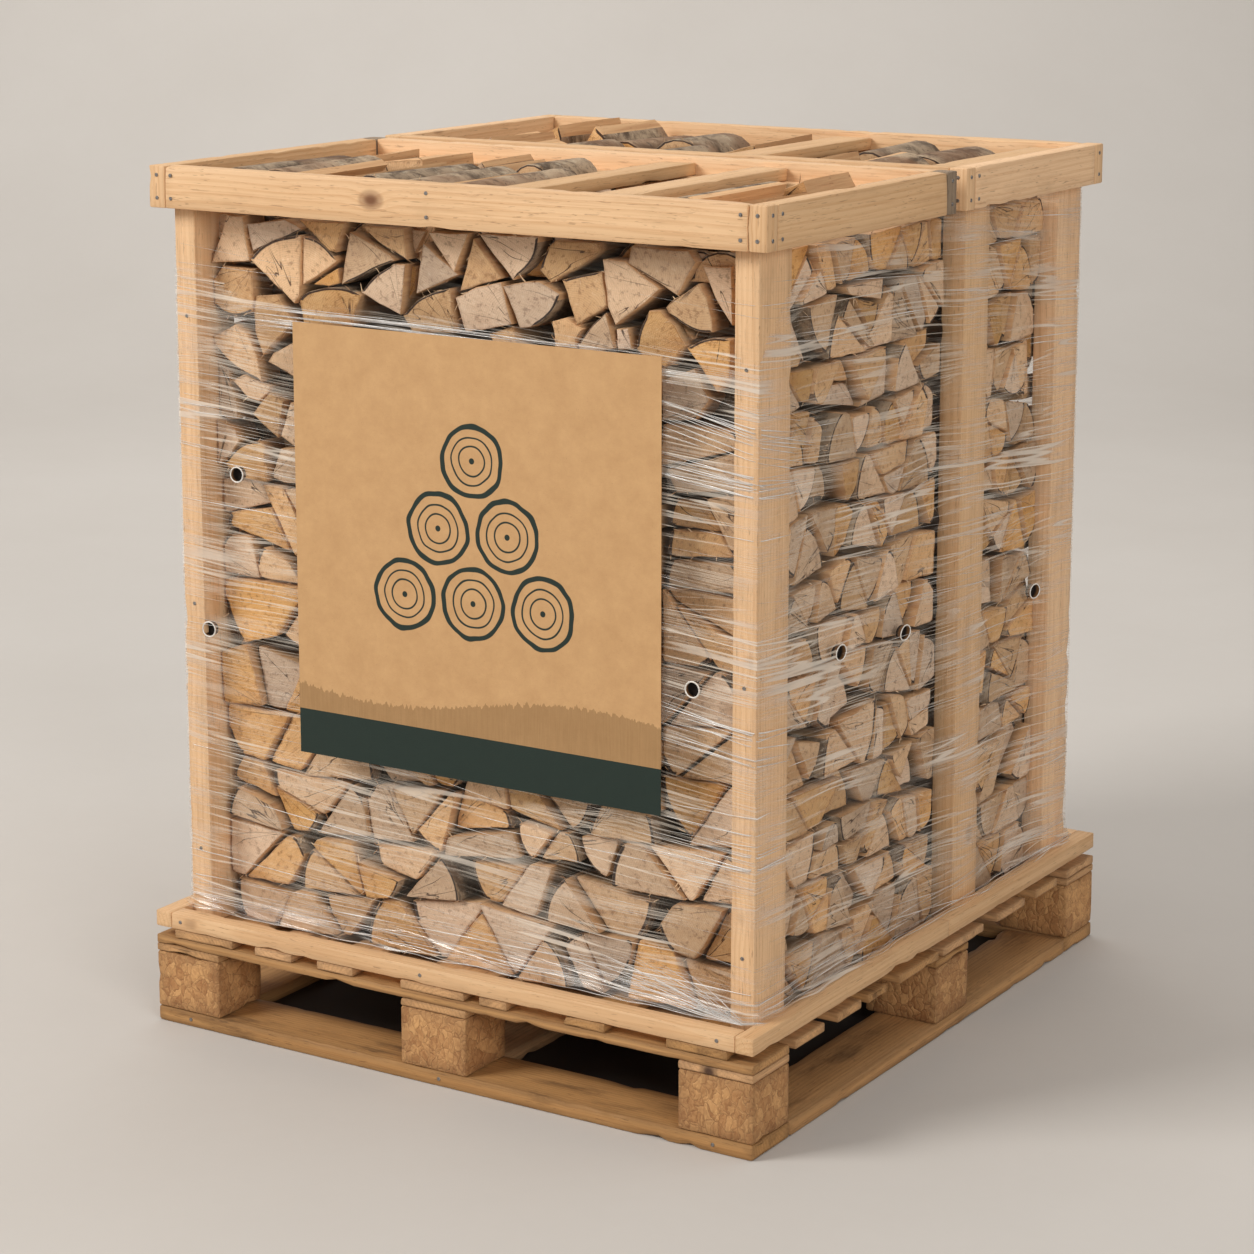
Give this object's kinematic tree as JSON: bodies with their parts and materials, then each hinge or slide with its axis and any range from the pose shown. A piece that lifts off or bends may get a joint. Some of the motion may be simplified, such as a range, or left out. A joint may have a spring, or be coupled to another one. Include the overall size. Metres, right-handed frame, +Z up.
{
  "type": "pallet of firewood",
  "caption": "Split beech logs stacked in two open pine crates on a four-way block pallet, wrapped in clear film, with a blank card sign.",
  "frame": {"origin": "on the floor under the middle of the pallet's outline", "axes": "+Z up, +X towards the load's right side, -Y towards the front with the sign"},
  "size_m": [1, 1.07, 1.247],
  "materials": {
    "pallet_wood": "rough-sawn, worn and honey brown",
    "pallet_block": "pressed-chip blocks, rough",
    "crate_pine": "fresh sawn pine with knots, matt",
    "split_beech": "split and sawn beech with grey bark, matt",
    "stretch_film": "clear stretch film, creased and glossy",
    "sign_card": "kraft card with a dark green band, matt"
  },
  "bodies": {
    "root": {"Block_front_left": "pallet_block", "Block_front_centre": "pallet_block", "Block_front_right": "pallet_block", "Block_middle_left": "pallet_block", "Block_middle_centre": "pallet_block", "Block_middle_right": "pallet_block", "Block_back_left": "pallet_block", "Block_back_centre": "pallet_block", "Block_back_right": "pallet_block", "Bottom_board_front": "pallet_wood", "Bottom_board_back": "pallet_wood", "Bottom_board_left": "pallet_wood", "Bottom_board_centre": "pallet_wood", "Bottom_board_right": "pallet_wood", "Cross_board_1": "pallet_wood", "Cross_board_2": "pallet_wood", "Cross_board_3": "pallet_wood", "Cross_board_4": "pallet_wood", "Cross_board_5": "pallet_wood", "Cross_board_6": "pallet_wood", "Cross_board_7": "pallet_wood", "Cross_board_8": "pallet_wood", "Cross_board_9": "pallet_wood", "Deck_board_1": "pallet_wood", "Deck_board_2": "pallet_wood", "Deck_board_3": "pallet_wood", "Deck_board_4": "pallet_wood", "Deck_board_5": "pallet_wood", "Deck_board_6": "pallet_wood", "Deck_board_7": "pallet_wood", "Base_rail_front": "crate_pine", "Base_rail_back": "crate_pine", "Base_rail_left_front": "crate_pine", "Base_rail_left_back": "crate_pine", "Base_rail_right_front": "crate_pine", "Base_rail_right_back": "crate_pine", "Post_front_left": "crate_pine", "Post_front_right": "crate_pine", "Post_middle_left": "crate_pine", "Post_middle_right": "crate_pine", "Post_back_left": "crate_pine", "Post_back_right": "crate_pine", "Top_rail_front_crate_front": "crate_pine", "Top_rail_front_crate_back": "crate_pine", "Top_rail_front_crate_left": "crate_pine", "Top_rail_front_crate_right": "crate_pine", "Top_rail_back_crate_front": "crate_pine", "Top_rail_back_crate_back": "crate_pine", "Top_rail_back_crate_left": "crate_pine", "Top_rail_back_crate_right": "crate_pine", "Lath_front": "crate_pine", "Lath_rear": "crate_pine", "Slat_front_left": "crate_pine", "Slat_front_right": "crate_pine", "Slat_back": "crate_pine", "Slat_back_side": "crate_pine", "Log_stack_front": "split_beech", "Log_stack_back": "split_beech", "Stretch_film": "stretch_film", "Sign": "sign_card"}
  },
  "joints": []
}
